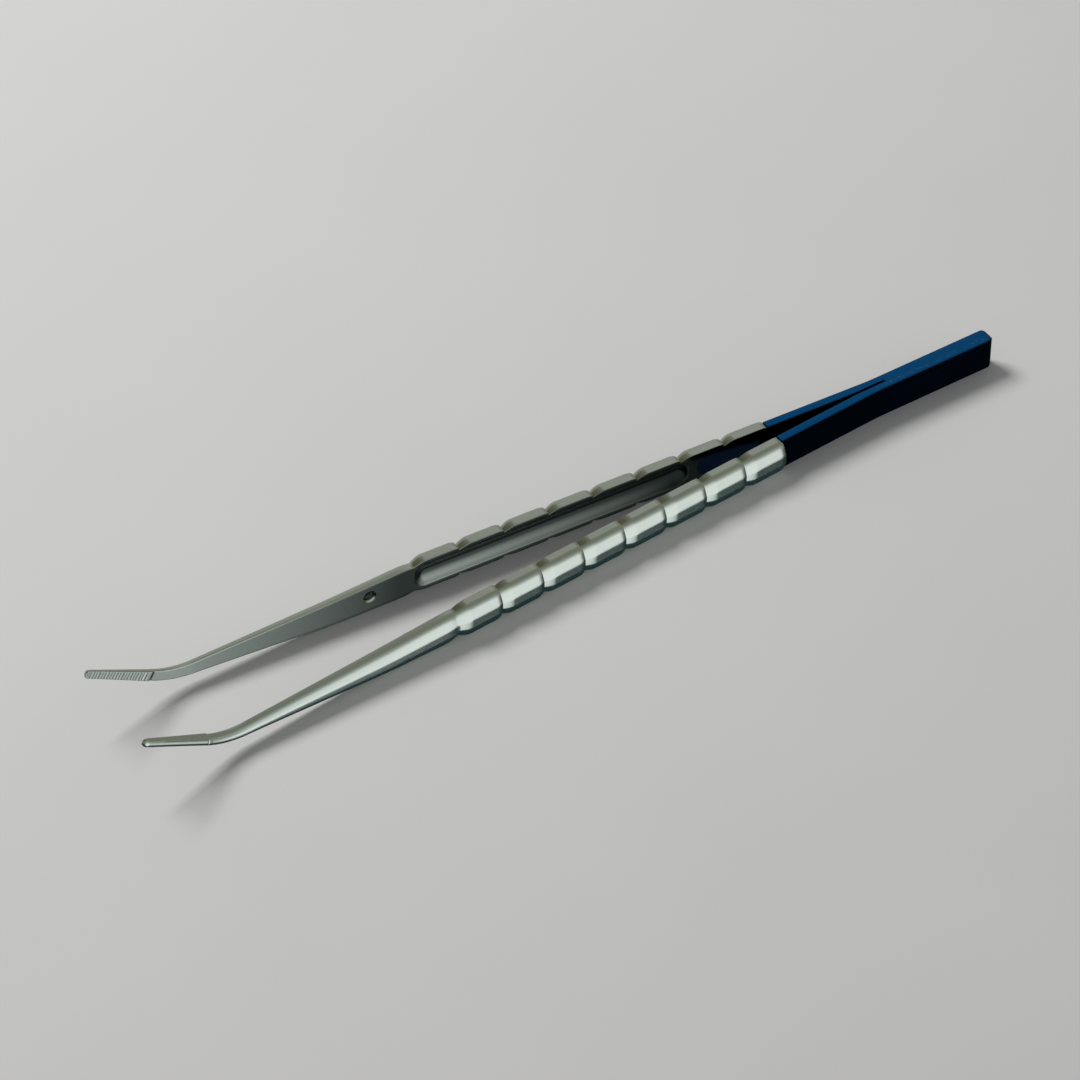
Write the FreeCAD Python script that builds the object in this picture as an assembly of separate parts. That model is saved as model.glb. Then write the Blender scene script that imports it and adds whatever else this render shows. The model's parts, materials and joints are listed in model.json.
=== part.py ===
import FreeCAD, Part
import math
import os

from FreeCAD import Vector

# Precision tweezers with bent tips, standing on their lower edges.  Millimetres.
#
# Row frame: origin on the mid-plane, at mid-length, on the resting plane.
# +X runs to the rear end, -X to the tips, +Z up; the near arm is on the -Y side.
#
# Every arm-side piece is drawn once, for the near arm, in the arm frame: its origin is at
# the fork of the two leaves, u runs forward along the arm's flat inner side, v points
# outward, and z is measured from mid-height.  The far arm is the near arm mirrored.

# ---- driving dimensions: overall
LENGTH = 151.3              # rear end to tips, along X, arms open
HEIGHT = 5.6                # leaves and grips, standing on edge
OPEN_ANGLE = 3.64           # each arm from the mid-plane at rest, degrees
FORK = 21.5                 # rear end to the fork where the leaves part
SHOULDER = 39.8             # rear end to the shoulder where the steel arm starts

# ---- driving dimensions: spring leaves
LEAF_THICKNESS = 1.3
LEAF_BEVEL = 0.15           # on the outer edges
SLOT_REACH = 2.0            # narrow slot between the leaves, behind the fork
SLOT_HALF = 0.22
REAR_CORNER = 0.9           # rounding of the rear end, seen from the side
PLAN_CORNER = 0.75          # and the flat across its corner, seen from above
FLEXURE = 8.2               # fork to the effective bending point of a leaf
FLEXURE_GAP = 0.12          # slit that lets the two halves of a leaf turn
TONGUE_LENGTH = 12.0
TONGUE_THICKNESS = 1.0
TONGUE_HEIGHT = 3.6

# ---- driving dimensions: bamboo grip
SEGMENT_PITCH = 7.4
SEGMENT_COUNT = 8
GRIP_EDGE = 1.9             # width of the level upper and lower edges
GRIP_CROWN = 2.65           # thickness at mid-height
SLOPE_SHARE = 0.7           # part of the half-height taken by each sloping facet
SLOPE_MIDDLE = (0.58, 0.46) # the facet's middle: share of its reach, share of its drop
SHOULDER_CHAMFER = 0.1      # round the grip's rear end
GROOVE_DEPTH = 0.5
# one segment from its front groove rearward: (fraction of the pitch, fraction of groove depth)
SEGMENT_PROFILE = ((0.0, 1.0), (0.07, 0.55), (0.15, 0.25), (0.28, 0.08), (0.55, 0.0),
                   (0.82, 0.08), (0.95, 0.28))

# ---- driving dimensions: front of the arm and bent tip
HEEL = 111.0                # rear end to where the lower edge starts to rise
NOSE_REACH = 1.5            # last groove of the grip to the blade's first section
TIP_ANGLE = 28.0            # degrees
TIP_RISE = 6.9              # centre of the tip above mid-height
BEND_RADIUS = 14.0
BLADE_OFFSET = -0.12        # centre of the blade before the bend, from mid-height
FRONT_INSET = 0.33          # how far the inner side leans in by the start of the jaw
JAW_CLEARANCE = 0.01        # left between each jaw and the mid-plane when shut
JAW_STEP = 0.3              # length of the step from the bend inward to the jaw
TOOTH_PITCH = 0.5
TOOTH_DEPTH = 0.06
TEETH_START = 0.7           # tip to the first tooth
TEETH_END = 0.9             # last tooth to the rear of the jaw

# ---- driving dimensions: sections of the arm, heights measured from its centre line
BLADE_NOSE = {"above": 2.35, "below": 2.75, "edge": 1.6, "crown": 2.3}
BLADE_HEEL = {"above": 1.8, "below": 2.75, "edge": 1.3, "crown": 2.1}
BEND_REAR = {"above": 1.05, "below": 1.05, "edge": 0.75, "crown": 1.35}
BEND_FRONT = {"above": 0.83, "below": 0.83, "edge": 0.65, "crown": 1.2}
JAW_REAR = {"above": 0.82, "below": 0.82, "edge": 0.82, "crown": 1.38}
JAW_FRONT = {"above": 0.64, "below": 0.64, "edge": 0.5, "crown": 0.82}
TIP_ROUND = {"above": 0.54, "below": 0.54, "edge": 0.42, "crown": 0.7}
TIP_END = {"above": 0.3, "below": 0.3, "edge": 0.26, "crown": 0.42}
JAW_TAPER_END = 0.9         # tip to the section JAW_FRONT
TIP_ROUNDING = 0.35         # tip to the section TIP_ROUND

# ---- driving dimensions: channel, guide pin and dowels
CHANNEL_RADIUS = 2.5
CHANNEL_DEPTH = 1.0
CHANNEL_SETBACK = 1.6       # tongue to the channel's rear edge
PIN_STATION = 106.2         # rear end to the guide pin
PIN_RADIUS = 0.75
PIN_PROUD = 1.5
PIN_SEAT = 1.4
GUIDE_CLEARANCE = 0.08
GUIDE_DEPTH = 1.6
GUIDE_BEVEL = 0.25
OVERSHOOT = 1.0             # how far a cutting tool starts outside the piece
REAR_DOWEL_RADIUS = 0.8
REAR_DOWEL_REACH = 0.95     # into each leaf
REAR_DOWEL_STATIONS = (6.0, 14.5)
ARM_DOWEL_RADIUS = 0.6
ARM_DOWEL_LENGTH = 1.75
ARM_DOWEL_STATIONS = (3.5, 8.5)   # forward of the shoulder

# ---- worked out from the above
HALF_HEIGHT = HEIGHT / 2
ALPHA = math.radians(OPEN_ANGLE)
PHI = math.radians(TIP_ANGLE)
FORK_X = LENGTH / 2 - FORK
UP = Vector(0, 0, 1)
OUTWARD = Vector(0, 1, 0)


def along(station):
    """u of a station measured from the rear end parallel to X."""
    return (station - FORK) / math.cos(ALPHA)


SHOULDER_U = along(SHOULDER)
GRIP_FRONT_U = SHOULDER_U + SEGMENT_COUNT * SEGMENT_PITCH
HEEL_U = along(HEEL)
PIN_U = along(PIN_STATION)

# the flexure axis lies at half the leaf's thickness; shut, each arm has turned by OPEN_ANGLE,
# its inner side is parallel to the mid-plane, and the jaws meet there
FLEXURE_V = LEAF_THICKNESS / 2
JAW_V = -(FLEXURE * math.sin(ALPHA) + FLEXURE_V * math.cos(ALPHA) - FLEXURE_V) + JAW_CLEARANCE

# the bent tip is laid out backward from its foremost corner
TIP_U = along(LENGTH) + JAW_V * math.tan(ALPHA) - TIP_END["below"] * math.sin(PHI)
TIP_STRAIGHT = (TIP_RISE - BLADE_OFFSET - BEND_RADIUS * (1 - math.cos(PHI))) / math.sin(PHI)
BEND_U = TIP_U - TIP_STRAIGHT * math.cos(PHI) - BEND_RADIUS * math.sin(PHI)


# ---- sections
def point(u, v, z, tilt, rise):
    """Point of a section whose plane leans back by tilt, at height rise in that plane."""
    return Vector(u - rise * math.sin(tilt), v, z + rise * math.cos(tilt))


def closed_wire(edges):
    return Part.Wire(Part.__sortEdges__(edges))


def arm_section(u, size, inner=0.0, z=0.0, tilt=0.0):
    """Flat inner side, level edges, and two slightly arched slopes to an upright outer side."""
    above, below, edge, crown = size["above"], size["below"], size["edge"], size["crown"]
    reach = crown - edge
    drop = SLOPE_SHARE * (above + below) / 2

    def at(v, rise):
        return point(u, inner + v, z, tilt, rise)

    def slope(side, height):
        """Facet from a level edge to the upright side; side is +1 above, -1 below."""
        middle = at(edge + SLOPE_MIDDLE[0] * reach, side * (height - SLOPE_MIDDLE[1] * drop))
        return Part.Arc(at(edge, side * height), middle, at(crown, side * (height - drop))).toShape()

    return closed_wire([
        Part.makeLine(at(0, -below), at(0, above)),
        Part.makeLine(at(0, above), at(edge, above)),
        slope(1, above),
        Part.makeLine(at(crown, above - drop), at(crown, drop - below)),
        slope(-1, below),
        Part.makeLine(at(edge, -below), at(0, -below)),
    ])


def shrunk(size, drop):
    """The same section with every side but the inner one moved in by drop."""
    return {name: value - drop for name, value in size.items()}


def mixed(first, second, share):
    """Section size part of the way from the first to the second."""
    return {name: value + share * (second[name] - value) for name, value in first.items()}


def ruled_solid(sections):
    return Part.makeLoft(sections, True, True)


# ---- steel arm
def grip_sections():
    """Sections of the bamboo grip, from the shoulder forward to the last groove."""
    full = {"above": HALF_HEIGHT, "below": HALF_HEIGHT, "edge": GRIP_EDGE, "crown": GRIP_CROWN}
    sections = [arm_section(SHOULDER_U, shrunk(full, SHOULDER_CHAMFER))]
    for index in range(SEGMENT_COUNT):
        front = SHOULDER_U + (index + 1) * SEGMENT_PITCH
        for fraction, share in reversed(SEGMENT_PROFILE):
            u = front - fraction * SEGMENT_PITCH
            sections.append(arm_section(u, shrunk(full, share * GROOVE_DEPTH)))
    return sections


def inner_lean(u):
    """v of the inner side between the grip and the jaw."""
    return -FRONT_INSET * (u - GRIP_FRONT_U) / (BEND_U - GRIP_FRONT_U)


def blade_sections():
    """Sections of the tapering blade, from the grip's last groove to the bend."""
    nose_u = GRIP_FRONT_U + NOSE_REACH
    return [
        arm_section(nose_u, BLADE_NOSE, inner_lean(nose_u)),
        arm_section(HEEL_U, BLADE_HEEL, inner_lean(HEEL_U)),
        arm_section(BEND_U, BEND_REAR, inner_lean(BEND_U), BLADE_OFFSET),
    ]


def bend_sections():
    """Sections round the upward bend, after its first one."""
    steps = 4
    sections = []
    for step in range(1, steps + 1):
        share = step / steps
        tilt = share * PHI
        u = BEND_U + BEND_RADIUS * math.sin(tilt)
        z = BLADE_OFFSET + BEND_RADIUS * (1 - math.cos(tilt))
        size = mixed(BEND_REAR, BEND_FRONT, share)
        sections.append(arm_section(u, size, -FRONT_INSET, z, tilt))
    return sections


def jaw_point(distance):
    """u and z of the jaw's centre line, a distance back from the tip."""
    return TIP_U - distance * math.cos(PHI), TIP_RISE - distance * math.sin(PHI)


def jaw_sections():
    """Sections of the straight jaw: a small step inward, then a taper to a rounded end."""
    sections = []
    for distance, size in ((TIP_STRAIGHT - JAW_STEP, JAW_REAR), (JAW_TAPER_END, JAW_FRONT),
                           (TIP_ROUNDING, TIP_ROUND), (0, TIP_END)):
        u, z = jaw_point(distance)
        sections.append(arm_section(u, size, JAW_V, z, PHI))
    return sections


def jaw_teeth():
    """V-shaped grooves across the jaw's inner side."""
    length = TIP_STRAIGHT - TEETH_START - TEETH_END
    half = TOOTH_PITCH / 2
    reach = 2 * JAW_REAR["above"]
    teeth = []
    for index in range(int(length / TOOTH_PITCH)):
        u, z = jaw_point(TEETH_START + (index + 0.5) * TOOTH_PITCH)
        tooth = Part.makePolygon([
            Vector(-half, -TOOTH_DEPTH, 0), Vector(half, -TOOTH_DEPTH, 0),
            Vector(0, TOOTH_DEPTH, 0), Vector(-half, -TOOTH_DEPTH, 0),
        ])
        prism = Part.Face(tooth).extrude(Vector(0, 0, 2 * reach))
        prism.translate(Vector(0, 0, -reach))
        prism.rotate(Vector(0, 0, 0), OUTWARD, -TIP_ANGLE)
        prism.translate(Vector(u, JAW_V, z))
        teeth.append(prism)
    return teeth


def channel():
    """Scoop along the inner side of the grip with ball ends."""
    sink = CHANNEL_DEPTH - CHANNEL_RADIUS
    half_width = math.sqrt(CHANNEL_RADIUS ** 2 - sink ** 2)
    rear = SHOULDER_U + TONGUE_LENGTH + CHANNEL_SETBACK + half_width
    front = GRIP_FRONT_U - half_width
    centre = Vector(rear, sink, 0)
    scoop = Part.makeCylinder(CHANNEL_RADIUS, front - rear, centre, Vector(1, 0, 0))
    for u in (rear, front):
        scoop = scoop.fuse(Part.makeSphere(CHANNEL_RADIUS, Vector(u, sink, 0)))
    return scoop.removeSplitter()


def tongue():
    """Round-ended tongue of the leaf, which fills a pocket in the arm."""
    radius = TONGUE_HEIGHT / 2
    straight = TONGUE_LENGTH - radius
    bar = Part.makeBox(straight, TONGUE_THICKNESS, TONGUE_HEIGHT, Vector(SHOULDER_U, 0, -radius))
    nose = Part.makeCylinder(radius, TONGUE_THICKNESS, Vector(SHOULDER_U + straight, 0, 0), OUTWARD)
    return bar.fuse(nose).removeSplitter()


def arm_dowels():
    return [
        Part.makeCylinder(ARM_DOWEL_RADIUS, ARM_DOWEL_LENGTH, Vector(SHOULDER_U + offset, 0, 0), OUTWARD)
        for offset in ARM_DOWEL_STATIONS
    ]


def arm_blank():
    sections = grip_sections() + blade_sections() + bend_sections() + jaw_sections()
    blank = ruled_solid(sections)
    return blank.cut([channel(), tongue()] + arm_dowels() + jaw_teeth())


def near_arm():
    start = Vector(PIN_U, -OVERSHOOT, 0)
    return arm_blank().cut(Part.makeCylinder(PIN_RADIUS, PIN_SEAT + OVERSHOOT, start, OUTWARD))


def far_arm():
    radius = PIN_RADIUS + GUIDE_CLEARANCE
    face = inner_lean(PIN_U)
    start = Vector(PIN_U, -OVERSHOOT, 0)
    hole = Part.makeCylinder(radius, GUIDE_DEPTH + OVERSHOOT, start, OUTWARD)
    lead_in = Part.makeCone(radius + 2 * GUIDE_BEVEL, radius, 2 * GUIDE_BEVEL,
                            Vector(PIN_U, face - GUIDE_BEVEL, 0), OUTWARD)
    return arm_blank().cut([hole, lead_in])


def guide_pin():
    """Round-nosed pin pressed into the near arm."""
    straight = PIN_PROUD - PIN_RADIUS
    shank = Part.makeCylinder(PIN_RADIUS, PIN_SEAT + straight, Vector(PIN_U, -straight, 0), OUTWARD)
    nose = Part.makeSphere(PIN_RADIUS, Vector(PIN_U, -straight, 0))
    return shank.fuse(nose).removeSplitter()


# ---- spring leaves
def leaf_strip(plan):
    """Strip of the leaf's height over an outline in plan."""
    base = [Vector(u, v, -HALF_HEIGHT) for u, v in plan]
    return Part.Face(Part.makePolygon(base + base[:1])).extrude(Vector(0, 0, HEIGHT))


def level_edges(strip, starts, ends):
    """Edges of the strip's two level faces that run from each start to its end in plan."""
    def rounded(u, v):
        return round(u, 6), round(v, 6)

    wanted = [{rounded(*start), rounded(*end)} for start, end in zip(starts, ends)]
    return [edge for edge in strip.Edges
            if {rounded(vertex.X, vertex.Y) for vertex in edge.Vertexes} in wanted]


def leaf_front():
    """Front half of a leaf, from its bending point to the end of its tongue."""
    rear_u = FLEXURE + FLEXURE_GAP / 2
    plan = [(rear_u, 0), (rear_u, LEAF_THICKNESS), (SHOULDER_U, LEAF_THICKNESS), (SHOULDER_U, 0)]
    strip = leaf_strip(plan)
    strip = strip.makeChamfer(LEAF_BEVEL, level_edges(strip, plan[1:2], plan[2:3]))
    return strip.fuse(tongue()).removeSplitter().cut(arm_dowels())


def rear_dowel_pair():
    """Dowels hidden across the joint of the two leaves, in the row frame's axes."""
    return [
        Part.makeCylinder(REAR_DOWEL_RADIUS, 2 * REAR_DOWEL_REACH,
                          Vector(LENGTH / 2 - station, -REAR_DOWEL_REACH, HALF_HEIGHT), OUTWARD)
        for station in REAR_DOWEL_STATIONS
    ]


def leaf_rear():
    """Rear half of a leaf: joined to its twin, then a narrow slot, then parting from it.

    Its plan is in the axes of the mid-plane: u runs forward from the fork, v is across.
    """
    def parted(u, v):
        """A point given along and across the parted leaf."""
        return u * math.cos(ALPHA) - v * math.sin(ALPHA), u * math.sin(ALPHA) + v * math.cos(ALPHA)

    front_u = FLEXURE - FLEXURE_GAP / 2
    knee = (-LEAF_THICKNESS * math.tan(ALPHA / 2), LEAF_THICKNESS)
    outer = [(-FORK, LEAF_THICKNESS), knee, parted(front_u, LEAF_THICKNESS)]
    slot = [(SLOT_HALF / math.tan(ALPHA), SLOT_HALF), (-SLOT_REACH, SLOT_HALF), (-SLOT_REACH, 0)]
    plan = [(-FORK, 0)] + outer + [parted(front_u, 0)] + slot
    strip = leaf_strip(plan)
    strip = strip.makeFillet(REAR_CORNER, level_edges(strip, plan[:1], outer[:1]))
    strip = strip.makeChamfer(LEAF_BEVEL, level_edges(strip, outer[:-1], outer[1:]))
    low = LEAF_THICKNESS - PLAN_CORNER - OVERSHOOT
    high = LEAF_THICKNESS + OVERSHOOT
    corner = [(-FORK - OVERSHOOT, low), (-FORK + PLAN_CORNER + OVERSHOOT, high), (-FORK - OVERSHOOT, high)]
    return strip.cut(leaf_strip(corner))


# ---- placing
def placed_near(shape, turn):
    """Arm frame to row frame, for the near side."""
    placed = shape.copy()
    placed.rotate(Vector(0, 0, 0), UP, 180 + turn)
    placed.translate(Vector(FORK_X, 0, HALF_HEIGHT))
    return placed


def mirrored(shape):
    return shape.mirror(Vector(0, 0, 0), OUTWARD)


def build():
    tang = placed_near(leaf_rear(), 0).cut(rear_dowel_pair())
    strip = placed_near(leaf_front(), OPEN_ANGLE)
    dowels = placed_near(Part.makeCompound(arm_dowels()), OPEN_ANGLE)
    return {
        "near_arm": placed_near(near_arm(), OPEN_ANGLE),
        "far_arm": mirrored(placed_near(far_arm(), OPEN_ANGLE)),
        "guide_pin": placed_near(guide_pin(), OPEN_ANGLE),
        "near_leaf_front": strip,
        "far_leaf_front": mirrored(strip),
        "near_leaf_rear": tang,
        "far_leaf_rear": mirrored(tang),
        "near_arm_dowels": dowels,
        "far_arm_dowels": mirrored(dowels),
        "rear_dowels": Part.makeCompound(rear_dowel_pair()),
    }


def write(nodes):
    os.makedirs("parts", exist_ok=True)
    for name, shape in nodes.items():
        if not shape.isValid():
            raise ValueError(name + " is not a valid shape")
        shape.exportStep(os.path.join("parts", name + ".step"))
        box = shape.BoundBox
        print(name, len(shape.Solids), "solids", round(shape.Volume, 2), "mm3",
              [round(value, 3) for value in (box.XMin, box.XMax, box.YMin, box.YMax, box.ZMin, box.ZMax)])


write(build())
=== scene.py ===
"""Looks of the precision tweezers: satin steel arms with bamboo grips and bent, serrated tips,
held by two glossy blue spring leaves.

Row frame, in metres: +X to the rear end, -X to the tips, +Z up, the near arm on -Y.
Shapes are worked out in millimetres in the arm frame: its origin is at the fork of the leaves
and at mid-height, u runs forward along the arm's flat inner side, v outward and w up.
"""

import json
import math

import bmesh
import bpy
import numpy as np
from mathutils import Matrix, Vector


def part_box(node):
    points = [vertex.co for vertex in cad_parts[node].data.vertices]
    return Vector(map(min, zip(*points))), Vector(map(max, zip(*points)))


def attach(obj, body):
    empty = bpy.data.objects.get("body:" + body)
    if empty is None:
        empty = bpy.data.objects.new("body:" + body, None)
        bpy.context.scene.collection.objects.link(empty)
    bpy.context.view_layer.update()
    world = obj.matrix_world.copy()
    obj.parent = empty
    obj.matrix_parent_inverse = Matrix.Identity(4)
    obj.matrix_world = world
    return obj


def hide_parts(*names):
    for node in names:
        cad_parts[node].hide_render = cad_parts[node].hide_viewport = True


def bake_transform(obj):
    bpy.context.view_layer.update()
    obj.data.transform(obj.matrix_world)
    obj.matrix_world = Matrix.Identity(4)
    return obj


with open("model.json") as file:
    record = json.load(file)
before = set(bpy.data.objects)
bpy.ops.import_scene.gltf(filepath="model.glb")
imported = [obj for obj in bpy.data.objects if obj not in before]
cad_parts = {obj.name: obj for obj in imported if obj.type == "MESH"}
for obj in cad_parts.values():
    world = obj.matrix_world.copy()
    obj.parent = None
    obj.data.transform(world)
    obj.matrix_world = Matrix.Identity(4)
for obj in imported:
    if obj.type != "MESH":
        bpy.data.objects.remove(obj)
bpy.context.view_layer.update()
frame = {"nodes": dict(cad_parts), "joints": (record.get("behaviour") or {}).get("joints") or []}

MM = 0.001
NEAR = -1
FAR = 1
SIDE_NAMES = {NEAR: "near", FAR: "far"}

# ---- overall sizes, mm, from the frame
REAR_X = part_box("near_leaf_rear")[1].x / MM
TIP_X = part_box("near_arm")[0].x / MM
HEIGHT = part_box("near_leaf_rear")[1].z / MM
LENGTH = REAR_X - TIP_X
OPEN_ANGLE = frame["joints"][0]["range_deg"][1]

# ---- driving dimensions, mm
FORK = 21.5                  # rear end to the fork
SHOULDER = 39.8              # rear end to the steel shoulder
FLEXURE = 8.2                # fork to the bending point of a leaf
LEAF_THICKNESS = 1.3
LEAF_BEVEL = 0.15
LEAF_EDGE_LEAST = 0.002      # least reach of the seam edges' rounding; keeps its points apart
REAR_CORNER = 0.9            # rounding of the rear end, seen from the side
PLAN_CORNER = 1.1            # and seen from above
SLOT_REACH = 2.0             # narrow slot between the leaves, behind the fork
SLOT_HALF = 0.22
KNEE_REACH = 1.5             # a leaf turns away from its twin over this length each side of the fork
TONGUE_LENGTH = 12.0
TONGUE_THICKNESS = 1.0
TONGUE_HEIGHT = 3.6
POCKET_GAP = 0.02

SEGMENT_PITCH = 7.4
SEGMENT_COUNT = 8
GRIP_EDGE = 1.9
GRIP_CROWN = 2.65
GROOVE_DEPTH = 0.5
RAMP_SHARE = 0.26            # front of a segment: cove up from the groove, share of the pitch
RAMP_CURVE = 1.6             # power of the cove's curve; 1 is a straight slope
ROUND_SHARE = 0.15           # rear of a segment: quarter round, share of the pitch
ROUND_DEPTH = 0.5            # its drop, share of the groove's depth
WALL_SHARE = 0.015           # steep wall of the groove, share of the pitch

HEEL = 111.0                 # rear end to where the lower edge starts to rise
NOSE_REACH = 1.5
TIP_ANGLE = 28.0
TIP_RISE = 6.9
BEND_RADIUS = 14.0
BLADE_OFFSET = -0.12
FRONT_INSET = 0.33
JAW_CLEARANCE = 0.01
JAW_STEP = 0.3
TOOTH_PITCH = 0.5
TOOTH_DEPTH = 0.035
TEETH_START = 0.7
TEETH_END = 0.9
TIP_BLUNT = 0.6              # the tip rounds off over this length
TIP_END_SHARE = 0.4          # size of the last ring, share of the full section

# sections as (above, below, edge, crown), measured from the arm's centre line
GRIP_FULL = (HEIGHT / 2, HEIGHT / 2, GRIP_EDGE, GRIP_CROWN)
BLADE_NOSE = (2.35, 2.75, 1.6, 2.3)
BLADE_HEEL = (1.8, 2.75, 1.3, 2.1)
BEND_REAR = (1.05, 1.05, 0.75, 1.35)
BEND_FRONT = (0.83, 0.83, 0.65, 1.2)
JAW_REAR = (0.82, 0.82, 0.82, 1.38)
JAW_FRONT = (0.64, 0.64, 0.5, 0.82)
EASE_REACH = 2.5             # kinks of the blade are eased over this length on each side
SLOPE_SHARE = 0.7            # part of the half-height taken by each sloping facet
INNER_ROUND = 0.12           # how far the roundings of the section's edges reach along its sides
LEVEL_ROUND = 0.9
CREST_ROUND = 0.28
INNER_ROUND_SHARE = 0.2      # and the most they reach, as a share of a level edge
LEVEL_ROUND_SHARE = 0.7
CREST_ROUND_SHARE = 0.35

CHANNEL_RADIUS = 2.5
CHANNEL_DEPTH = 1.0
CHANNEL_SETBACK = 1.6
CHANNEL_RIM = 0.05           # softness of the channel's rim
CHANNEL_COLUMNS = 15         # points across the channel in each ring

PIN_STATION = 106.2
PIN_RADIUS = 0.75
PIN_PROUD = 1.5
PIN_SEAT = 1.4
GUIDE_RADIUS = 0.83
GUIDE_DEPTH = 1.6
GUIDE_BEVEL = 0.25
ARM_DOWEL_RADIUS = 0.6
ARM_DOWEL_LENGTH = 1.75
ARM_DOWEL_STATIONS = (3.5, 8.5)

# ---- worked out from the above
ALPHA = math.radians(OPEN_ANGLE)
PHI = math.radians(TIP_ANGLE)
FORK_X = REAR_X - FORK


def along(station):
    """u of a station measured from the rear end parallel to X."""
    return (station - FORK) / math.cos(ALPHA)


SHOULDER_U = along(SHOULDER)
GRIP_FRONT_U = SHOULDER_U + SEGMENT_COUNT * SEGMENT_PITCH
HEEL_U = along(HEEL)
PIN_U = along(PIN_STATION)
FLEXURE_V = LEAF_THICKNESS / 2
JAW_V = -(FLEXURE * math.sin(ALPHA) + FLEXURE_V * math.cos(ALPHA) - FLEXURE_V) + JAW_CLEARANCE
TIP_U = along(LENGTH) + JAW_V * math.tan(ALPHA) - TIP_END_SHARE * JAW_FRONT[1] * math.sin(PHI)
TIP_STRAIGHT = (TIP_RISE - BLADE_OFFSET - BEND_RADIUS * (1 - math.cos(PHI))) / math.sin(PHI)
BEND_U = TIP_U - TIP_STRAIGHT * math.cos(PHI) - BEND_RADIUS * math.sin(PHI)

# lengths along the centre line, s, which equals u up to the bend
BEND_END_S = BEND_U + BEND_RADIUS * PHI
JAW_S = BEND_END_S + JAW_STEP
TIP_S = BEND_END_S + TIP_STRAIGHT
GROOVE_FULL = tuple(value - GROOVE_DEPTH for value in GRIP_FULL)
SIZE_STATIONS = (GRIP_FRONT_U, GRIP_FRONT_U + NOSE_REACH, HEEL_U, BEND_U, BEND_END_S, JAW_S, TIP_S)
SIZES = (GROOVE_FULL, BLADE_NOSE, BLADE_HEEL, BEND_REAR, BEND_FRONT, JAW_REAR, JAW_FRONT)

CHANNEL_SINK = CHANNEL_DEPTH - CHANNEL_RADIUS
CHANNEL_HALF = math.sqrt(CHANNEL_RADIUS ** 2 - CHANNEL_SINK ** 2)
CHANNEL_REAR_U = SHOULDER_U + TONGUE_LENGTH + CHANNEL_SETBACK + CHANNEL_HALF
CHANNEL_FRONT_U = GRIP_FRONT_U - CHANNEL_HALF


# ---- frames
def to_row(points, side):
    """Arm frame in millimetres to row frame in metres."""
    u, v, w = np.asarray(points, float).T
    x = FORK_X - u * math.cos(ALPHA) + v * math.sin(ALPHA)
    y = side * (u * math.sin(ALPHA) + v * math.cos(ALPHA))
    return np.stack([x, y, w + HEIGHT / 2], axis=1) * MM


def clamped(value):
    """value, kept between 0 and 1."""
    return min(1.0, max(0.0, value))


def smooth_share(value, start, end):
    """0 before start, 1 after end, smooth between them."""
    share = clamped((value - start) / (end - start))
    return share * share * (3 - 2 * share)


# ---- meshes
def mesh_object(name, points, faces):
    """Object with this mesh, its doubled points joined and its faces turned outward."""
    mesh = bpy.data.meshes.new(name)
    mesh.from_pydata([tuple(p) for p in points], [], faces)
    shape = bmesh.new()
    shape.from_mesh(mesh)
    bmesh.ops.remove_doubles(shape, verts=shape.verts, dist=1e-8)
    bmesh.ops.recalc_face_normals(shape, faces=shape.faces)
    shape.to_mesh(mesh)
    shape.free()
    piece = bpy.data.objects.new(name, mesh)
    bpy.context.scene.collection.objects.link(piece)
    return piece


def skin(name, rings, side):
    """Closed mesh over rings with equal numbers of points, in the arm frame."""
    count = len(rings[0])
    points = np.concatenate([np.asarray(ring, float) for ring in rings])
    faces = [tuple(range(count)), tuple(range(len(points) - 1, len(points) - count - 1, -1))]
    for ring in range(len(rings) - 1):
        base = ring * count
        for i in range(count):
            j = (i + 1) % count
            faces.append((base + i, base + j, base + count + j, base + count + i))
    return mesh_object(name, to_row(points, side), faces)


def lathe(name, profile, u, side, steps=48):
    """Round solid about the v axis through u at mid-height; profile holds (v, radius)."""
    angles = [2 * math.pi * i / steps for i in range(steps)]
    rings = [[(u + r * math.cos(a), v, r * math.sin(a)) for a in angles] for v, r in profile]
    return skin(name, rings, side)


def tongue_prism(name, side, gap, inner, outer):
    """Round-ended tongue from the shoulder forward, larger by gap, between two depths."""
    radius = TONGUE_HEIGHT / 2 + gap
    nose_u = SHOULDER_U + TONGUE_LENGTH - TONGUE_HEIGHT / 2
    start_u = SHOULDER_U - LEAF_BEVEL
    steps = 24
    outline = [(start_u, -radius)]
    for i in range(steps + 1):
        angle = math.pi * (i / steps - 0.5)
        outline.append((nose_u + radius * math.cos(angle), radius * math.sin(angle)))
    outline.append((start_u, radius))
    rings = [[(u, v, w) for u, w in outline] for v in (inner, outer)]
    return skin(name, rings, side)


def combined(piece, operation, tools):
    """Applies the tools to the piece as booleans, one after another, and removes them."""
    for tool in tools:
        modifier = piece.modifiers.new(tool.name, "BOOLEAN")
        modifier.operation = operation
        modifier.solver = "EXACT"
        modifier.object = tool
    bpy.context.view_layer.update()
    graph = bpy.context.evaluated_depsgraph_get()
    mesh = bpy.data.meshes.new_from_object(piece.evaluated_get(graph))
    piece.modifiers.clear()
    piece.data = mesh
    for tool in tools:
        bpy.data.objects.remove(tool)
    return piece


def smooth_shaded(piece, sharp_angle=38.0):
    """Smooth faces with sharp edges kept, and flat faces shaded flat."""
    limit = math.radians(sharp_angle)
    shape = bmesh.new()
    shape.from_mesh(piece.data)
    for face in shape.faces:
        face.smooth = True
    for edge in shape.edges:
        edge.smooth = len(edge.link_faces) != 2 or edge.calc_face_angle(0.0) < limit
    shape.to_mesh(piece.data)
    shape.free()
    modifier = piece.modifiers.new("flat faces", "WEIGHTED_NORMAL")
    modifier.keep_sharp = True
    return piece


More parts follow.
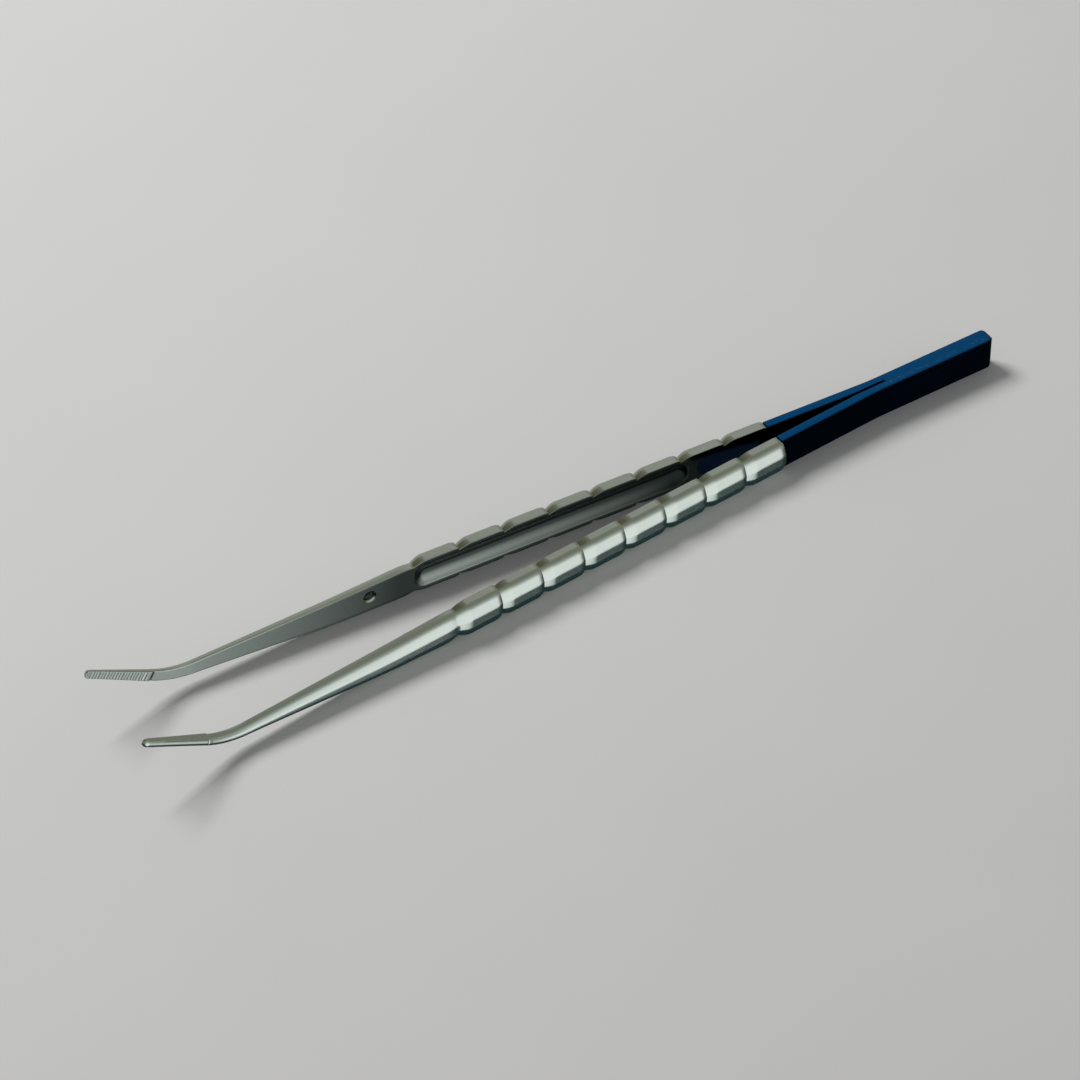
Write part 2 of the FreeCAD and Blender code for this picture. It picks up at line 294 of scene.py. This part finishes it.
# ---- sections
def rounded_corner(before, corner, after, reach, steps=8):
    """Points round a corner of an outline; the rounding reaches this far along both sides."""
    before, corner, after = (np.asarray(p, float) for p in (before, corner, after))
    start = corner + (before - corner) * reach / np.linalg.norm(before - corner)
    end = corner + (after - corner) * reach / np.linalg.norm(after - corner)
    points = []
    for i in range(steps + 1):
        t = i / steps
        points.append((1 - t) ** 2 * start + 2 * t * (1 - t) * corner + t * t * end)
    return points


def rounded_outline(corners):
    """Closed outline through (v, w, reach) corners; returns the points corner by corner."""
    places = [corner[:2] for corner in corners]
    return [rounded_corner(places[i - 1], places[i], places[(i + 1) % len(places)], corners[i][2])
            for i in range(len(places))]


def past_channel(u):
    """How far u lies beyond the straight part of the channel, at either end of it."""
    return max(CHANNEL_REAR_U - u, u - CHANNEL_FRONT_U, 0)


def channel_edge(u):
    """Half-width of the channel at u, or None where there is no channel."""
    past = past_channel(u)
    if past >= CHANNEL_HALF:
        return None
    return math.sqrt(CHANNEL_HALF ** 2 - past ** 2)


def channel_depth(u, w):
    """Depth of the channel below the flat inner side, with a soft rim."""
    square = CHANNEL_RADIUS ** 2 - past_channel(u) ** 2 - w ** 2
    depth = math.sqrt(max(square, 0.0)) + CHANNEL_SINK
    return (depth + math.sqrt(depth ** 2 + CHANNEL_RIM ** 2)) / 2


def inner_columns(low, high, u):
    """Heights of the inner side's columns; the middle ones follow the channel's edge."""
    edge = channel_edge(u)
    if edge is None:
        edge = 0.5 * min(high, -low)
    edge = max(edge, CHANNEL_RIM)
    rim = min(2 * CHANNEL_RIM, edge / 2)
    below = np.linspace(low, -edge - rim, 4)
    middle = np.linspace(-edge + rim, edge - rim, CHANNEL_COLUMNS)
    above = np.linspace(edge + rim, high, 4)
    return np.concatenate([below, [-edge], middle, [edge], above])[1:-1]


def arm_outline(size, inner, u, tooth):
    """Outline (v, w) of the arm: flat inner side, level edges, sloping and upright outer facets.

    tooth is the depth of the cut between two of the jaw's teeth.
    """
    above, below, edge, crown = size
    drop = SLOPE_SHARE * (above + below) / 2
    inner_round = min(INNER_ROUND, INNER_ROUND_SHARE * edge)
    level_round = min(LEVEL_ROUND, LEVEL_ROUND_SHARE * edge)
    crest_round = min(CREST_ROUND, CREST_ROUND_SHARE * edge)
    corners = [
        (0, -below, inner_round),
        (0, above, inner_round),
        (edge, above, level_round),
        (crown, above - drop, crest_round),
        (crown, drop - below, crest_round),
        (edge, -below, level_round),
    ]
    arcs = rounded_outline(corners)
    low, high = arcs[0][-1][1], arcs[1][0][1]
    in_channel = channel_edge(u) is not None
    columns = []
    for w in inner_columns(low, high, u):
        columns.append((channel_depth(u, w) if in_channel else 0.0, w))
    outline = arcs[0] + columns + sum(arcs[1:], [])
    points = []
    for v, w in outline:
        cut = tooth * clamped(1 - v / (2 * INNER_ROUND))
        points.append((inner + v + cut, w))
    return points


def centre(s):
    """u, w and tilt of the arm's centre line at length s."""
    if s <= BEND_U:
        sag = clamped((s - HEEL_U) / (BEND_U - HEEL_U))
        return s, BLADE_OFFSET * sag, 0.0
    tilt = min((s - BEND_U) / BEND_RADIUS, PHI)
    straight = max(s - BEND_END_S, 0.0)
    u = BEND_U + BEND_RADIUS * math.sin(tilt) + straight * math.cos(tilt)
    w = BLADE_OFFSET + BEND_RADIUS * (1 - math.cos(tilt)) + straight * math.sin(tilt)
    return u, w, tilt


def groove_share(fraction, last):
    """Drop of a bamboo segment, as a share of the groove, rearward from its front groove."""
    ramp = max(0.0, 1 - fraction / RAMP_SHARE) ** RAMP_CURVE
    turn = clamped((fraction - 1 + ROUND_SHARE) / ROUND_SHARE)
    quarter = ROUND_DEPTH * (1 - math.sqrt(1 - turn * turn))
    wall = 0.0 if last else max(0.0, (fraction - 1 + WALL_SHARE) / WALL_SHARE)
    return ramp + quarter + wall * (1 - quarter)


def grip_size(s):
    """Section of the bamboo grip at length s."""
    position = (GRIP_FRONT_U - s) / SEGMENT_PITCH
    index = min(int(position), SEGMENT_COUNT - 1)
    drop = GROOVE_DEPTH * groove_share(position - index, index == SEGMENT_COUNT - 1)
    return tuple(value - drop for value in GRIP_FULL)


def front_size(s):
    """Section of the blade, bend and jaw at length s, with the kinks eased."""
    reach = max(0.02, min(EASE_REACH, (s - GRIP_FRONT_U) / 2, abs(JAW_S - s) / 2, (TIP_S - s) / 2))
    window = s + np.linspace(-reach, reach, 9)
    size = [float(np.interp(window, SIZE_STATIONS, column).mean()) for column in zip(*SIZES)]
    blunt = clamped(1 - (TIP_S - s) / TIP_BLUNT)
    scale = math.sqrt(1 - (1 - TIP_END_SHARE ** 2) * blunt ** 2)
    return tuple(value * scale for value in size)


def inner_side(s):
    """v of the inner side at length s: flat, leaning in along the blade, stepped at the jaw."""
    lean = -FRONT_INSET * clamped((s - GRIP_FRONT_U) / (BEND_U - GRIP_FRONT_U))
    return lean + (JAW_V + FRONT_INSET) * smooth_share(s, BEND_END_S, JAW_S)


def tooth_cut(s):
    """Depth of the jaw's cross grooves at length s."""
    distance = TIP_S - s
    if not TEETH_START <= distance <= TIP_STRAIGHT - TEETH_END:
        return 0.0
    phase = (distance - TEETH_START) / TOOTH_PITCH % 1
    return TOOTH_DEPTH * max(0.0, 1 - 4 * abs(phase - 0.5))


def arm_ring(s):
    """Ring of the arm at length s: its section, square to the centre line."""
    u, w, tilt = centre(s)
    size = grip_size(s) if s <= GRIP_FRONT_U else front_size(s)
    return [(u - rise * math.sin(tilt), v, w + rise * math.cos(tilt))
            for v, rise in arm_outline(size, inner_side(s), u, tooth_cut(s))]


def arm_lengths():
    """Lengths at which the arm has a ring: close together where the shape turns quickly."""
    fractions = np.concatenate([
        np.linspace(0, RAMP_SHARE, 13),
        np.linspace(RAMP_SHARE, 1 - ROUND_SHARE, 6),
        1 - ROUND_SHARE * (1 - np.sin(np.linspace(0, math.pi / 2, 9))),
        [1 - WALL_SHARE, 1 - WALL_SHARE / 2],
    ])
    grip = [GRIP_FRONT_U - (i + f) * SEGMENT_PITCH for i in range(SEGMENT_COUNT) for f in fractions]
    turn = np.cos(np.linspace(0, math.pi / 2, 14))
    channel = np.concatenate([
        CHANNEL_FRONT_U + CHANNEL_HALF * turn,
        CHANNEL_REAR_U - CHANNEL_HALF * turn,
    ])
    blade = np.linspace(GRIP_FRONT_U, BEND_U, 70)
    bend = np.linspace(BEND_U, BEND_END_S, 24)
    step = np.linspace(BEND_END_S, JAW_S, 7)
    jaw = np.linspace(JAW_S, TIP_S - TIP_BLUNT, 30)
    teeth = TIP_S - TEETH_START - TOOTH_PITCH / 4 * np.arange(4 * (TIP_STRAIGHT / TOOTH_PITCH))
    teeth = teeth[teeth > JAW_S]
    tip = TIP_S - TIP_BLUNT * (1 - np.sin(np.linspace(0, math.pi / 2, 9)))
    every = np.concatenate([grip, channel, blade, bend, step, jaw, teeth, tip])
    return np.unique(np.round(every, 3))


# ---- pieces
def arm_dowel_holes(side):
    """Tools for the two holes that the arm and its leaf's tongue share."""
    profile = [(-1.0, ARM_DOWEL_RADIUS), (ARM_DOWEL_LENGTH, ARM_DOWEL_RADIUS)]
    return [lathe("dowel_hole", profile, SHOULDER_U + offset, side) for offset in ARM_DOWEL_STATIONS]


def arm_blank(side):
    """The arm with its channel, jaw and grip, and the pocket for the leaf's tongue."""
    rings = [arm_ring(s) for s in arm_lengths()]
    blank = skin(SIDE_NAMES[side] + "_arm_visual", rings, side)
    pocket = tongue_prism("pocket", side, POCKET_GAP, -1.0, TONGUE_THICKNESS)
    return combined(blank, "DIFFERENCE", [pocket] + arm_dowel_holes(side))


def near_arm():
    """The arm that carries the guide pin: its bore has a small lead-in."""
    face = inner_side(PIN_U)
    lead_in = GUIDE_BEVEL / 2
    profile = [(face - lead_in, PIN_RADIUS + 2 * lead_in), (face + lead_in, PIN_RADIUS),
               (PIN_SEAT, PIN_RADIUS)]
    return combined(arm_blank(NEAR), "DIFFERENCE", [lathe("bore", profile, PIN_U, NEAR)])


def far_arm():
    """The arm with the guide hole, bevelled at its mouth and coned at its bottom."""
    face = inner_side(PIN_U)
    profile = [(face - GUIDE_BEVEL, GUIDE_RADIUS + 2 * GUIDE_BEVEL), (face + GUIDE_BEVEL, GUIDE_RADIUS),
               (GUIDE_DEPTH, GUIDE_RADIUS), (GUIDE_DEPTH + GUIDE_BEVEL, GUIDE_RADIUS / 4)]
    return combined(arm_blank(FAR), "DIFFERENCE", [lathe("guide_hole", profile, PIN_U, FAR)])


def guide_pin():
    """Pin with a full round nose and a small chamfer inside the arm."""
    steps = 12
    straight = PIN_PROUD - PIN_RADIUS
    profile = [(PIN_SEAT, PIN_RADIUS - GUIDE_BEVEL / 2), (PIN_SEAT - GUIDE_BEVEL / 2, PIN_RADIUS)]
    for i in range(steps):
        angle = math.pi / 2 * i / steps
        profile.append((-straight - PIN_RADIUS * math.sin(angle), PIN_RADIUS * math.cos(angle)))
    return lathe("guide_pin_visual", profile, PIN_U, NEAR)


def leaf_path(s):
    """A leaf's inner side at length s from the fork: u, v and its turn in the arm frame.

    Returns also how far the slot behind the fork cuts into the inner side. In front of the knee
    the inner side lies on the arm's; behind it, the two leaves run side by side.
    """
    past_end = min(max(s + SLOT_REACH, 0.0), SLOT_HALF)
    slot = math.sqrt(SLOT_HALF ** 2 - (SLOT_HALF - past_end) ** 2)
    if s >= KNEE_REACH:
        return s, 0.0, 0.0, max(0.0, slot - s * math.tan(ALPHA))
    share = max(0.0, (s + KNEE_REACH) / (2 * KNEE_REACH))
    across = ALPHA * KNEE_REACH * share ** 2
    u = s * math.cos(ALPHA) + across * math.sin(ALPHA)
    v = -s * math.sin(ALPHA) + across * math.cos(ALPHA)
    return u, v, ALPHA * share - ALPHA, max(0.0, slot - across)


def quarter_inset(distance, radius):
    """How far a quarter round of this radius lies inside its corner, at a distance from the end."""
    left = max(0.0, radius - distance)
    return radius - math.sqrt(radius ** 2 - left ** 2)


def leaf_ring(s):
    """Ring of a leaf: strip with bevelled outer edges and a rounded rear end."""
    u, v, turn, slot = leaf_path(s)
    half = HEIGHT / 2 - quarter_inset(s + FORK, REAR_CORNER)
    thickness = LEAF_THICKNESS - quarter_inset(s + FORK, PLAN_CORNER)
    edge = INNER_ROUND * smooth_share(s, 0, 3 * KNEE_REACH) + LEAF_EDGE_LEAST
    arcs = rounded_outline([
        (slot, -half, edge), (slot, half, edge),
        (thickness, half, LEAF_BEVEL), (thickness, -half, LEAF_BEVEL),
    ])
    return [(u - across * math.sin(turn), v + across * math.cos(turn), w)
            for across, w in sum(arcs, [])]


def leaf(side):
    """One leaf from the rear end to the end of its tongue, with a fixed knee at the fork where it turns
    away from its twin.
    """
    rear_end = REAR_CORNER * (1 - np.cos(np.linspace(0, math.pi / 2, 9))) - FORK
    slot_end = SLOT_HALF * (1 - np.cos(np.linspace(0, math.pi / 2, 9))) - SLOT_REACH
    knee = np.linspace(-2 * KNEE_REACH, 2 * KNEE_REACH, 25)
    rear = np.linspace(REAR_CORNER - FORK, -2 * KNEE_REACH, 20)
    strip = np.linspace(2 * KNEE_REACH, SHOULDER_U, 40)
    every = np.concatenate([rear_end, slot_end, knee, rear, strip])
    lengths = np.unique(np.round(every, 3))
    lengths[-1] = SHOULDER_U
    name = SIDE_NAMES[side]
    rings = [leaf_ring(s) for s in lengths]
    piece = skin(name + "_leaf_visual", rings, side)
    tongue = tongue_prism("tongue", side, 0, POCKET_GAP / 2, TONGUE_THICKNESS - POCKET_GAP)
    combined(piece, "UNION", [tongue])
    combined(piece, "DIFFERENCE", arm_dowel_holes(side))
    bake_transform(piece)
    return piece


# ---- materials; places in mm, colours linear
JAW_X = TIP_X + TIP_STRAIGHT * math.cos(PHI)
SHADE_FRONT_X = -62.0        # the shade painted on the flat inner side grows from here
SHADE_REAR_X = -26.0         # to here, and in the lower half of the channel from here
LIP_REAR_X = 20.0            # to here
SHADE_FLAT = (0.25, 0.93)    # share of the shade at both ends of the flat side
SHADE_LIP = (0.15, 0.93)     # and of the channel's lower half
SHADE_DARKEST = 0.05         # what is added to both at the rear
SHADE_COLOURS = ((0.012, 0.02, 0.018, 1), (0.001, 0.004, 0.003, 1))
STEEL_COLOURS = ((0.58, 0.6, 0.58, 1), (0.63, 0.65, 0.625, 1))
STEEL_EDGE = (0.72, 0.74, 0.73, 1)
# painted shade in the grooves and other hollows of the steel
STEEL_HOLLOW_SHADE = (0.2, 0.21, 0.17, 1)
BLUE_COLOURS = ((0.001, 0.09, 0.29, 1), (0.0015, 0.11, 0.34, 1))
# painted dark reflection on the coat's upright sides
BLUE_SIDE_REFLECTION = (0.0003, 0.003, 0.02, 1)
BLUE_WORN = (0.3, 0.36, 0.42, 1)
PIN_COLOURS = ((0.5, 0.51, 0.5, 1), (0.62, 0.63, 0.62, 1))
PIN_EDGE = (0.75, 0.75, 0.74, 1)
FLOOR_COLOURS = ((0.66, 0.665, 0.66, 1), (0.7, 0.7, 0.695, 1))


class Shader:
    """Short way to build a material's or world's nodes; an input is a value or a node's output."""

    def __init__(self, owner):
        self.owner = owner
        owner.use_nodes = True
        self.tree = owner.node_tree
        self.tree.nodes.clear()

    def add(self, kind, inputs=None, **settings):
        """New node; settings are its own properties."""
        node = self.tree.nodes.new("ShaderNode" + kind)
        for key, value in settings.items():
            setattr(node, key, value)
        for key, value in (inputs or {}).items():
            if isinstance(value, bpy.types.NodeSocket):
                self.tree.links.new(value, node.inputs[key])
            else:
                node.inputs[key].default_value = value
        return node

    def math(self, operation, first, second=0.0):
        """Result of an operation on one or two values."""
        return self.add("Math", {0: first, 1: second}, operation=operation).outputs[0]

    def product(self, first, second):
        """The two values multiplied."""
        return self.math("MULTIPLY", first, second)

    def total(self, first, second):
        """The two values added."""
        return self.math("ADD", first, second)

    def ranged(self, value, source, target):
        """value mapped from the source range to the target range, clamped."""
        inputs = {"Value": value, "From Min": source[0], "From Max": source[1],
                  "To Min": target[0], "To Max": target[1]}
        return self.add("MapRange", inputs).outputs[0]

    def facing(self, vector, towards, source, target):
        """Value that depends on how far a direction points towards another one."""
        dot = self.add("VectorMath", {0: vector, 1: tuple(towards)}, operation="DOT_PRODUCT")
        return self.ranged(dot.outputs["Value"], source, target)

    def mixed(self, share, first, second):
        """Colour between the first, at share 0, and the second, at share 1."""
        inputs = {"Factor": share, "A": first, "B": second}
        return self.add("Mix", inputs, data_type="RGBA").outputs["Result"]

    def grain(self, cells, turn=0.0, detail=3.0):
        """Noise with this many cells per millimetre along X, Y and Z, turned about Z."""
        place = self.add("TexCoord").outputs["Object"]
        turned = self.add("Mapping", {"Vector": place, "Rotation": (0, 0, turn)}).outputs[0]
        scale = tuple(value / MM for value in cells)
        vector = self.add("Mapping", {"Vector": turned, "Scale": scale}).outputs[0]
        return self.add("TexNoise", {"Vector": vector, "Scale": 1.0, "Detail": detail}).outputs[0]

    def place(self):
        """X, Y and Z in the piece, in metres."""
        return self.add("SeparateXYZ", {"Vector": self.add("TexCoord").outputs["Object"]}).outputs

    def outward(self):
        """X, Y and Z of the surface's outward direction."""
        return self.add("SeparateXYZ", {"Vector": self.add("TexCoord").outputs["Normal"]}).outputs

    def pointed(self, start, end):
        """Rises from 0 to 1 with the surface's pointedness: 0.5 is flat, more is an edge."""
        return self.ranged(self.add("NewGeometry").outputs["Pointiness"], (start, end), (0, 1))

    def bump(self, height, strength, distance):
        """Outward direction with this relief; distance in millimetres."""
        inputs = {"Height": height, "Strength": strength, "Distance": distance * MM}
        return self.add("Bump", inputs).outputs[0]

    def finish(self, **inputs):
        """The finished material; the inputs are those of the principled surface."""
        named = {key.replace("_", " "): value for key, value in inputs.items()}
        surface = self.add("BsdfPrincipled", named).outputs[0]
        self.add("OutputMaterial", {"Surface": surface})
        return self.owner


def inner_shade(shader, inward):
    """Share and colour of the darkness painted on the inner side, as the photo shows it.

    It stands in for dark surroundings and shadow; nothing says that the steel itself is darker.
    """
    x = shader.place()["X"]
    upward = shader.ranged(shader.outward()["Z"], (0.2, 0.8), (0, 1))
    rearward = shader.ranged(x, (SHADE_REAR_X * MM, LIP_REAR_X * MM), (0, 1))
    flat = shader.ranged(x, (SHADE_FRONT_X * MM, SHADE_REAR_X * MM), SHADE_FLAT)
    lip = shader.ranged(x, (SHADE_REAR_X * MM, LIP_REAR_X * MM), SHADE_LIP)
    shade = shader.total(shader.product(upward, shader.math("SUBTRACT", lip, flat)), flat)
    shade = shader.total(shade, shader.product(rearward, SHADE_DARKEST))
    return shader.product(shade, inward), shader.mixed(rearward, *SHADE_COLOURS)


def satin_steel(side):
    """Satin stainless steel, brushed lengthwise, with bright edges and a duller jaw face; painted shade
    darkens its hollows and its inner side.
    """
    shader = Shader(bpy.data.materials.new("satin_steel_" + SIDE_NAMES[side]))
    turn = side * ALPHA
    brushed = shader.grain((0.5, 24, 24), turn, 2.0)
    clouds = shader.grain((0.12, 0.2, 0.2), turn)
    pores = shader.grain((20, 20, 20), turn, 2.0)
    edges = shader.pointed(0.52, 0.58)
    # painted shade: the hollows get a darker colour, as if shade fell in them
    hollow_shade = shader.pointed(0.48, 0.43)
    inward = shader.ranged(shader.product(shader.outward()["Y"], -side), (0.3, 0.6), (0, 1))
    jaw = shader.product(shader.math("LESS_THAN", shader.place()["X"], JAW_X * MM), inward)
    shade, shade_colour = inner_shade(shader, inward)
    colour = shader.mixed(clouds, *STEEL_COLOURS)
    colour = shader.mixed(edges, colour, STEEL_EDGE)
    colour = shader.mixed(shader.product(hollow_shade, 0.6), colour, STEEL_HOLLOW_SHADE)
    colour = shader.mixed(shade, colour, shade_colour)
    roughness = shader.ranged(brushed, (0.3, 0.7), (0.22, 0.29))
    roughness = shader.total(roughness, shader.product(jaw, 0.12))
    roughness = shader.math("SUBTRACT", roughness, shader.product(edges, 0.08))
    height = shader.total(brushed, shader.product(pores, 0.5))
    relief = shader.bump(height, 0.03, 0.004)
    return shader.finish(Base_Color=colour, Metallic=1.0, Roughness=roughness, Normal=relief)


def edge_wear(shader):
    """Share of bare steel: chips on the leaf's outer edges, behind the shoulder."""
    place = shader.place()
    chips = shader.grain((3, 3, 3), detail=4.0)
    worn = shader.product(shader.pointed(0.53, 0.6), shader.ranged(chips, (0.56, 0.66), (0, 0.7)))
    from_seam = shader.math("ABSOLUTE", place["Y"])
    worn = shader.product(worn, shader.math("GREATER_THAN", from_seam, 3 * LEAF_BEVEL * MM))
    return shader.product(worn, shader.math("GREATER_THAN", place["X"], (REAR_X - SHOULDER) * MM))


def blue_coat():
    """Glossy dark blue coat on steel: orange peel, wipe marks, wear.

    Its upright sides carry a painted dark reflection, nearly black.
    """
    shader = Shader(bpy.data.materials.new("blue_coat"))
    peel = shader.grain((1.6, 1.6, 1.6), detail=2.0)
    wipes = shader.grain((0.08, 2.5, 2.5), detail=4.0)
    worn = edge_wear(shader)
    # painted dark reflection: upright faces are turned nearly black
    upright = shader.ranged(shader.math("ABSOLUTE", shader.outward()["Z"]), (0.3, 0.8), (0.96, 0))
    colour = shader.mixed(peel, *BLUE_COLOURS)
    colour = shader.mixed(upright, colour, BLUE_SIDE_REFLECTION)
    colour = shader.mixed(worn, colour, BLUE_WORN)
    roughness = shader.ranged(wipes, (0.35, 0.7), (0.11, 0.2))
    roughness = shader.total(roughness, shader.product(worn, 0.2))
    relief = shader.bump(peel, 0.03, 0.01)
    return shader.finish(Base_Color=colour, Metallic=1.0, Roughness=roughness, Normal=relief,
                         Coat_Weight=0.05, Coat_Roughness=0.06)


def pin_steel():
    """Turned and polished pin steel with fine rings and bright edges."""
    shader = Shader(bpy.data.materials.new("pin_steel"))
    turned = shader.grain((2, 12, 2))
    specks = shader.grain((5, 5, 5), detail=2.0)
    colour = shader.mixed(specks, *PIN_COLOURS)
    colour = shader.mixed(shader.pointed(0.52, 0.58), colour, PIN_EDGE)
    roughness = shader.ranged(turned, (0.3, 0.7), (0.14, 0.26))
    relief = shader.bump(turned, 0.1, 0.01)
    return shader.finish(Base_Color=colour, Metallic=1.0, Roughness=roughness, Normal=relief)


def pale_floor():
    """Plain pale matt floor with a faint mottle."""
    shader = Shader(bpy.data.materials.new("pale_floor"))
    mottle = shader.grain((0.02, 0.02, 0.02))
    grit = shader.grain((0.8, 0.8, 0.8))
    colour = shader.mixed(mottle, *FLOOR_COLOURS)
    roughness = shader.ranged(grit, (0.3, 0.7), (0.6, 0.75))
    relief = shader.bump(grit, 0.05, 0.02)
    return shader.finish(Base_Color=colour, Roughness=roughness, Normal=relief)


# ---- studio
FLOOR_SIZE = 4.0             # metres
FLOOR_STEPS = 8              # squares along each side
CAMERA_AZIMUTH = math.radians(-33.56)
CAMERA_ELEVATION = math.radians(43.85)
CAMERA_ROLL = math.radians(-0.287)
CAMERA_LENS = 185.8          # mm, on a 36 mm sensor
CAMERA_DISTANCE = 805.6      # mm from the aim point
AIM_X = -0.35                # mm from the object's centre to the aim point, along X,
AIM_RIGHT = -3.819           # to the right in the view,
AIM_UP = -0.234              # and up in the view

# surroundings: the light, the colours that the metal mirrors, and directions to parts of them,
# with behind and in front as the camera sees them
PLAIN_LIGHT = (0.27, 0.27, 0.27, 1)
BELOW_COLOUR = (0.02, 0.045, 0.045, 1)
HIGH_COLOUR = (0.23, 0.25, 0.2, 1)
FRONT_COLOUR = (1.1, 1.2, 1.16, 1)
BEHIND_COLOUR = (0.44, 0.46, 0.42, 1)
LEFT_COLOUR = (0.1, 0.1, 0.05, 1)
UP = (0, 0, 1)
TO_FAR_SIDE = (0, 1, 0)
TO_NEAR_SIDE = (0, -1, 0)
BEHIND = (0.47, 0.58, 0.665)
LEFT_BEHIND = (-0.40, 0.60, 0.69)
IN_FRONT = (-0.10, -0.97, -0.10)


def direction(azimuth, elevation):
    """Unit vector towards a place seen from the object; azimuth 0 is -Y, 90 degrees is +X."""
    return Vector((math.sin(azimuth) * math.cos(elevation),
                   -math.cos(azimuth) * math.cos(elevation),
                   math.sin(elevation)))


def floor():
    """Square floor under the tweezers; the metal doesn't mirror it."""
    row = FLOOR_STEPS + 1
    ticks = [FLOOR_SIZE / 2 * (2 * i / FLOOR_STEPS - 1) for i in range(row)]
    points = [(x, y, 0.0) for x in ticks for y in ticks]
    faces = [(i * row + j, (i + 1) * row + j, (i + 1) * row + j + 1, i * row + j + 1)
             for i in range(FLOOR_STEPS) for j in range(FLOOR_STEPS)]
    ground = mesh_object("floor", points, faces)
    ground.data.materials.append(pale_floor())
    ground.visible_glossy = False


def soft_light(name, azimuth, elevation, distance, size, power, colour):
    """Area light aimed at the object, which doesn't mirror it; azimuth and elevation in degrees."""
    data = bpy.data.lights.new(name, "AREA")
    data.shape = "RECTANGLE"
    data.size, data.size_y = size
    data.energy = power
    data.color = colour
    light = bpy.data.objects.new(name, data)
    bpy.context.scene.collection.objects.link(light)
    away = direction(math.radians(azimuth), math.radians(elevation))
    light.location = away * distance
    light.rotation_euler = away.to_track_quat("Z", "Y").to_euler()
    light.visible_glossy = False


def mirrored_field(shader):
    """What the metal mirrors: a bright field in front, darkness below, a paler patch behind.

    The directions are set for the camera's angle.
    """
    toward = shader.add("TexCoord").outputs["Generated"]
    above = shader.facing(toward, UP, (-0.35, 0.1), (0, 1))
    high_in_front = shader.facing(toward, TO_NEAR_SIDE, (0.3, 0.95), (0, 0.4))
    behind = shader.total(shader.facing(toward, BEHIND, (0.98, 0.996), (0, 1)),
                          shader.facing(toward, TO_FAR_SIDE, (0.64, 0.76), (0, 0.7)))
    left_behind = shader.facing(toward, LEFT_BEHIND, (0.75, 0.95), (0, 1))
    in_front = shader.product(shader.facing(toward, IN_FRONT, (0.645, 0.73), (0, 1)),
                              shader.facing(toward, UP, (0, 0.9), (1, 0)))
    high = shader.mixed(high_in_front, HIGH_COLOUR, FRONT_COLOUR)
    field = shader.mixed(above, BELOW_COLOUR, high)
    field = shader.mixed(behind, field, BEHIND_COLOUR)
    field = shader.mixed(left_behind, field, LEFT_COLOUR)
    return shader.mixed(in_front, field, FRONT_COLOUR)


def studio_world():
    """Plain soft light everywhere, with the mirrored field for the metal."""
    world = bpy.data.worlds.new("studio")
    bpy.context.scene.world = world
    shader = Shader(world)
    in_metal = shader.add("LightPath").outputs["Is Glossy Ray"]
    colour = shader.mixed(in_metal, PLAIN_LIGHT, mirrored_field(shader))
    background = shader.add("Background", {"Color": colour}).outputs[0]
    shader.add("OutputWorld", {"Surface": background})


def camera():
    """Camera at the photo's angle, aimed at a place near the object's centre."""
    data = bpy.data.cameras.new("camera")
    data.lens = CAMERA_LENS
    data.clip_start = 0.01
    right = Vector((math.cos(CAMERA_AZIMUTH), math.sin(CAMERA_AZIMUTH), 0))
    back = direction(CAMERA_AZIMUTH, CAMERA_ELEVATION)
    up = back.cross(right)
    aim = Vector((AIM_X, 0, HEIGHT / 2)) + AIM_RIGHT * right + AIM_UP * up
    across = math.cos(CAMERA_ROLL) * right - math.sin(CAMERA_ROLL) * up
    upward = math.sin(CAMERA_ROLL) * right + math.cos(CAMERA_ROLL) * up
    view = bpy.data.objects.new("camera", data)
    bpy.context.scene.collection.objects.link(view)
    turn = Matrix((across, upward, back)).transposed().to_4x4()
    view.matrix_world = Matrix.Translation((aim + CAMERA_DISTANCE * back) * MM) @ turn
    bpy.context.scene.camera = view


# ---- assembly
def dress(piece, material):
    """Gives the piece one material."""
    piece.data.materials.clear()
    piece.data.materials.append(material)


def add_side(side, coat):
    """One side's arm and leaf; the near arm isn't mirrored by the metal behind it."""
    name = SIDE_NAMES[side]
    arm = smooth_shaded(near_arm() if side == NEAR else far_arm())
    arm.visible_glossy = side != NEAR
    dress(arm, satin_steel(side))
    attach(arm, name + "_side")
    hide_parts(name + "_arm")
    strip = smooth_shaded(leaf(side))
    dress(strip, coat)
    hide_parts(name + "_leaf_front", name + "_leaf_rear")


def add_pins(coat):
    """The guide pin, and the CAD's own dowels; the arm dowels' ends carry the coat."""
    polished = pin_steel()
    pin = smooth_shaded(guide_pin())
    dress(pin, polished)
    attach(pin, "near_side")
    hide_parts("guide_pin")
    dress(frame["nodes"]["rear_dowels"], polished)
    for name in ("near_arm_dowels", "far_arm_dowels"):
        dress(frame["nodes"][name], coat)


def assemble():
    """The whole pair of tweezers."""
    coat = blue_coat()
    for side in (NEAR, FAR):
        add_side(side, coat)
    add_pins(coat)


assemble()
floor()
studio_world()
soft_light("key behind", azimuth=200, elevation=50, distance=0.9, size=(0.35, 0.35), power=6.0,
           colour=(1.0, 0.99, 0.97))
camera()
bpy.context.scene.view_settings.view_transform = "Standard"
